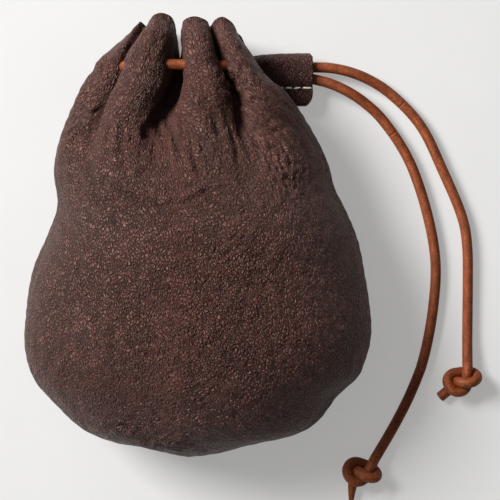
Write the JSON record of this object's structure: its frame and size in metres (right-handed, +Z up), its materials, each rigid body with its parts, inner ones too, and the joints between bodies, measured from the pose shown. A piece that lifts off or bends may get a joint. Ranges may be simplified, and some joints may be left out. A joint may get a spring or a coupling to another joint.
{
  "type": "drawstring dice bag",
  "caption": "Small leather drawstring pouch for dice: two sewn panels, gathered neck, threaded cord with knotted tails and a folded leather slider.",
  "frame": {"origin": "point of the back panel's flat resting patch, under the middle of the bag", "axes": "+Z up out of the table the bag lies on, +Y towards the mouth, +X towards the side where the cord ends leave"},
  "size_m": [0.1261, 0.1337, 0.0417],
  "materials": {
    "bag_leather": "pebbled, semi-matte",
    "slider_leather": "pebbled, semi-matte",
    "cord_leather": "round cord, waxed satin",
    "stitch_thread": "twisted thread",
    "seam_thread": "twisted thread"
  },
  "bodies": {
    "bag": {"back_panel": "bag_leather", "seam_thread": "seam_thread", "cord_back_run": "cord_leather", "cord_front_exit": "cord_leather"},
    "mouth_front": {"front_panel": "bag_leather", "cord_front_run": "cord_leather"},
    "slider": {"slider": "slider_leather", "slider_thread": "stitch_thread"},
    "upper_exit": {"upper_cord_exit": "cord_leather"},
    "upper_bend": {"upper_cord_bend": "cord_leather"},
    "upper_end": {"upper_cord_end": "cord_leather", "upper_knot": "cord_leather"},
    "lower_exit": {"lower_cord_exit": "cord_leather"},
    "lower_bend": {"lower_cord_bend": "cord_leather"},
    "lower_end": {"lower_cord_end": "cord_leather", "lower_knot": "cord_leather"}
  },
  "joints": [
    {"name": "mouth_open", "type": "hinge", "parent": "bag", "child": "mouth_front", "pos_m": [0, -0.0572, 0.018], "axis": [1, 0, 0], "range_deg": [0, 18]},
    {"name": "slider_slide", "type": "slide", "parent": "bag", "child": "slider", "axis": [1, 0, 0], "range_m": [0, 0.008]},
    {"name": "upper_exit_swing", "type": "hinge", "parent": "bag", "child": "upper_exit", "pos_m": [0.0309, 0.0515, 0.0039], "axis": [0, 0, 1], "range_deg": [0, 11]},
    {"name": "upper_bend_swing", "type": "hinge", "parent": "upper_exit", "child": "upper_bend", "pos_m": [0.0418, 0.0496, 0.0039], "axis": [0, 0, 1], "range_deg": [-11, 0]},
    {"name": "upper_tail_lift", "type": "hinge", "parent": "upper_bend", "child": "upper_end", "pos_m": [0.0746, 0.0085, 0.0016], "axis": [-1, 0, 0], "range_deg": [0, 75]},
    {"name": "lower_exit_swing", "type": "hinge", "parent": "bag", "child": "lower_exit", "pos_m": [0.0309, 0.0483, 0.0039], "axis": [0, 0, 1], "range_deg": [0, 23]},
    {"name": "lower_bend_swing", "type": "hinge", "parent": "lower_exit", "child": "lower_bend", "pos_m": [0.0418, 0.0439, 0.0039], "axis": [0, 0, 1], "range_deg": [-23, 0]},
    {"name": "lower_tail_lift", "type": "hinge", "parent": "lower_bend", "child": "lower_end", "pos_m": [0.0665, 0.0003, 0.0016], "axis": [-1, 0, 0], "range_deg": [0, 75]}
  ],
  "couplings": [
    {"joint": "upper_exit_swing", "follows": "slider_slide", "rad_per_m": 23},
    {"joint": "upper_bend_swing", "follows": "slider_slide", "rad_per_m": -23},
    {"joint": "lower_exit_swing", "follows": "slider_slide", "rad_per_m": 49},
    {"joint": "lower_bend_swing", "follows": "slider_slide", "rad_per_m": -49}
  ]
}
